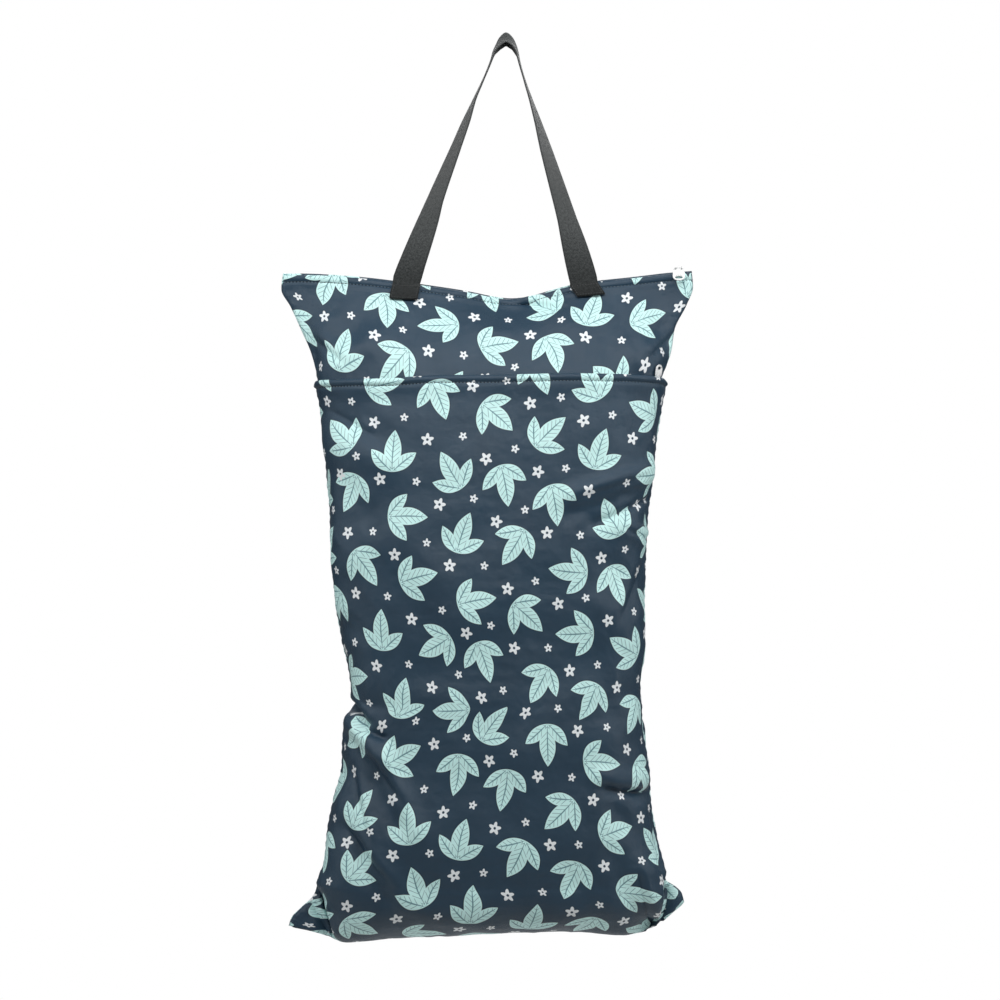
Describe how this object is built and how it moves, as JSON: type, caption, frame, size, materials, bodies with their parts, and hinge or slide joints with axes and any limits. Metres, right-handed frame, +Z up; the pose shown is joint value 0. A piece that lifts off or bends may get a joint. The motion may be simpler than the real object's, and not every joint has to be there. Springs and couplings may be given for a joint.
{
  "type": "hanging diaper bag",
  "caption": "Filled cloth diaper bag that hangs by a webbing strap, with a zipped mouth and a zipped front pocket.",
  "frame": {"origin": "underside of the strap's crest, where a hook carries it", "axes": "+Z up, +X to the right of someone who faces the bag, and the front with the pocket faces -Y"},
  "size_m": [0.406, 0.1326, 0.8919],
  "materials": {
    "printed_cloth": "printed, soft satin",
    "webbing": "woven, matt",
    "zip_tape": "woven, matt",
    "white_plastic": "smooth, semi-gloss"
  },
  "bodies": {
    "bag": {"front_panel": "printed_cloth", "front_yoke": "printed_cloth", "back_panel": "printed_cloth", "strap": "webbing", "top_zip": "zip_tape", "pocket_zip": "zip_tape", "top_slider": "white_plastic", "pocket_slider": "white_plastic", "pocket_pull": "white_plastic"},
    "top_pull": {"top_pull": "white_plastic"}
  },
  "joints": [
    {"name": "top_pull_hinge", "type": "hinge", "parent": "bag", "child": "top_pull", "pos_m": [0.16901, -0.00237, -0.22932], "axis": [-1, 0, 0], "range_deg": [0, 205]}
  ]
}
